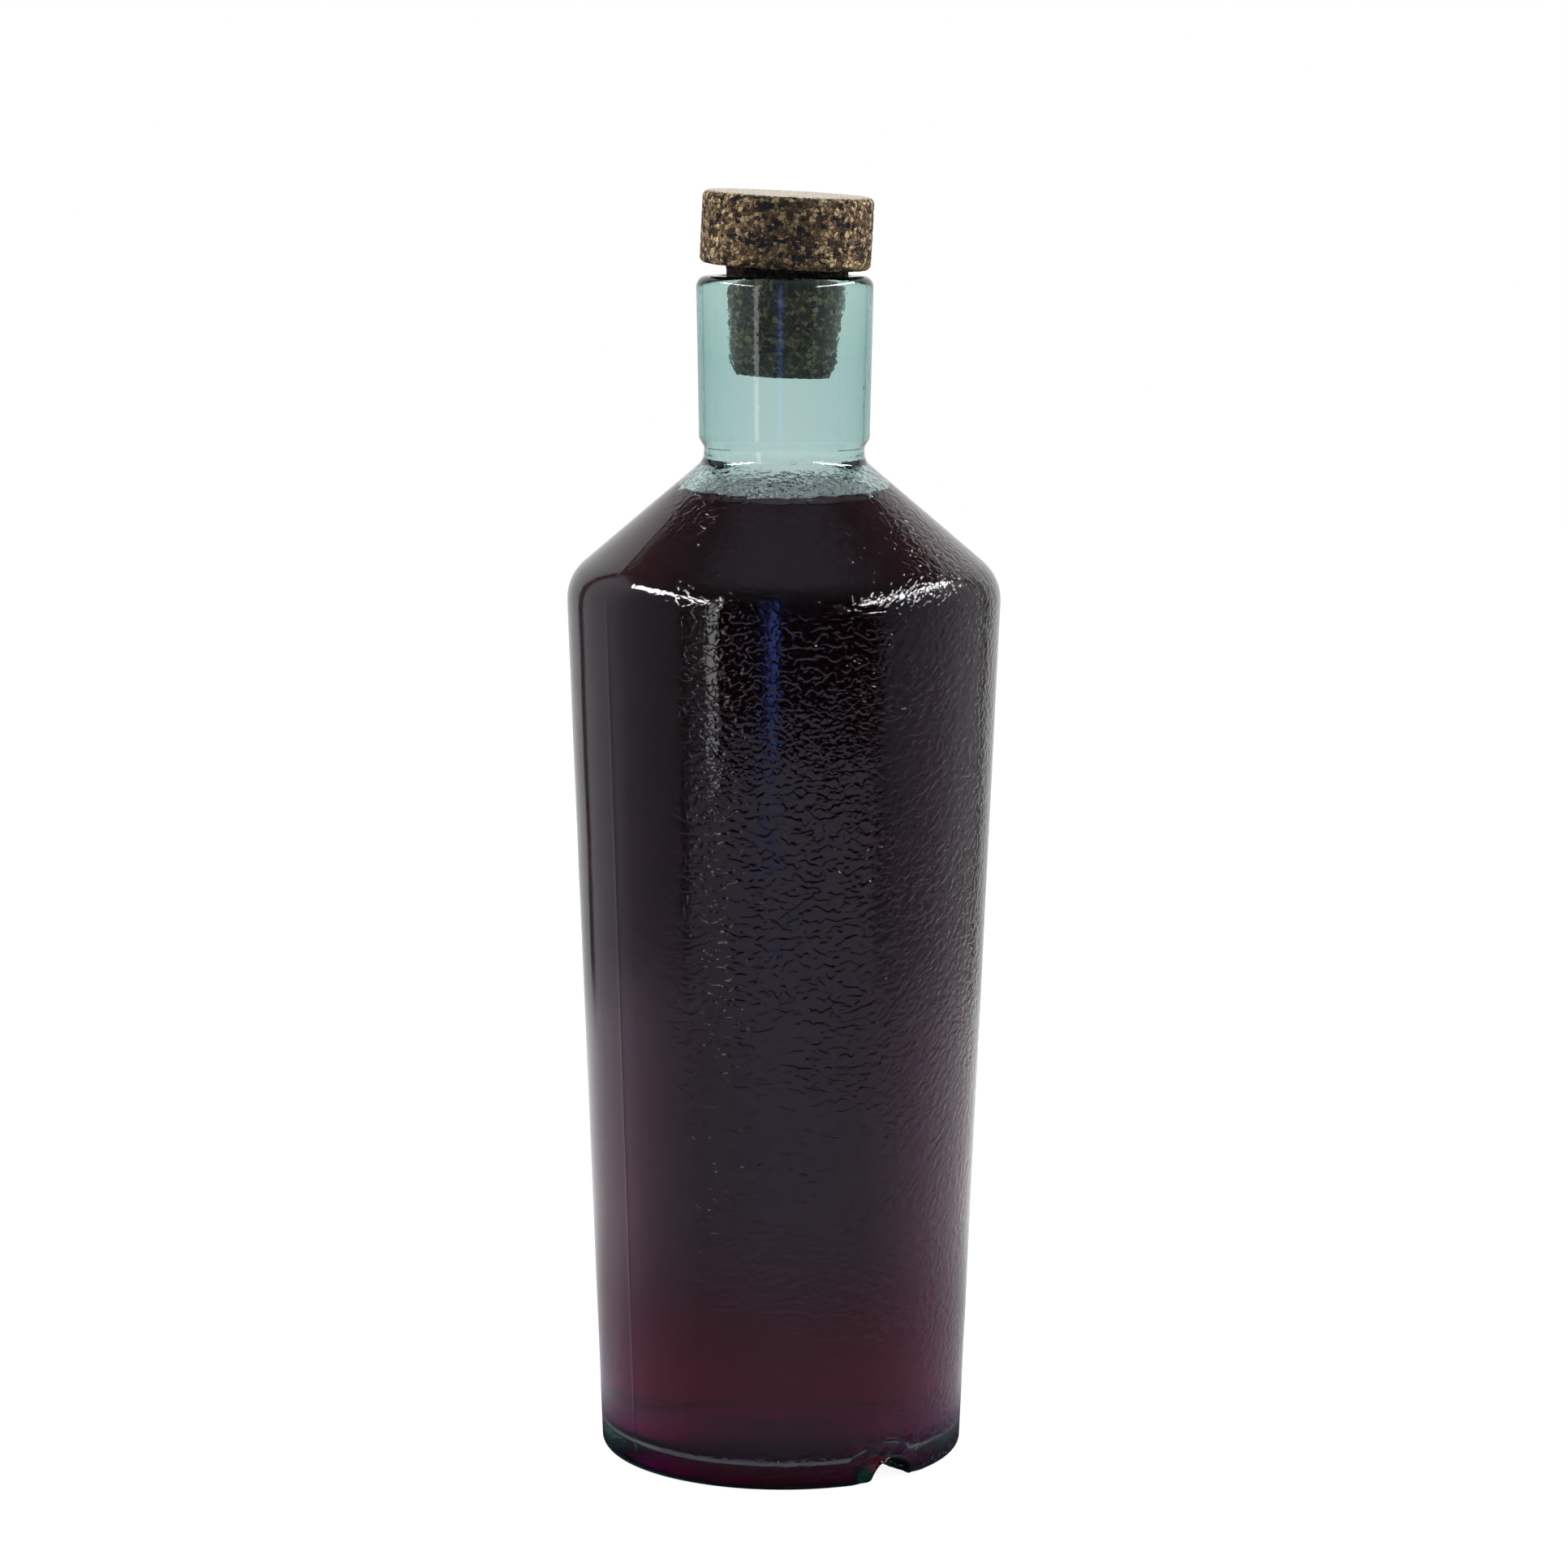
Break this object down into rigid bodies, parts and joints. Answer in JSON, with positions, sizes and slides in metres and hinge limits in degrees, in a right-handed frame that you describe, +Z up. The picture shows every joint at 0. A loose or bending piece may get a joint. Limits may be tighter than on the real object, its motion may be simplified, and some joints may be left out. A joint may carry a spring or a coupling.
{
  "type": "glass bottle with cork stopper",
  "caption": "tapered round glass bottle with a conical shoulder and short collar, filled with a dark red drink and closed by a cork stopper",
  "frame": {"origin": "centre of the bearing ring under the bottle, on the axis of the glass", "axes": "+Z up along the axis of the glass, +X to the right and -Y to the front as first seen, with the base notch at the front right"},
  "size_m": [0.0854, 0.0854, 0.2508],
  "materials": {
    "bottle_glass": "clear aqua-tinted, slightly wavy",
    "dark_drink": "dark plum-red liquid, clear in thin layers",
    "agglomerated_cork": "matt pressed cork granules"
  },
  "bodies": {
    "root": {"glass_bottle": "bottle_glass", "drink": "dark_drink", "cork_stopper": "agglomerated_cork"}
  },
  "joints": []
}
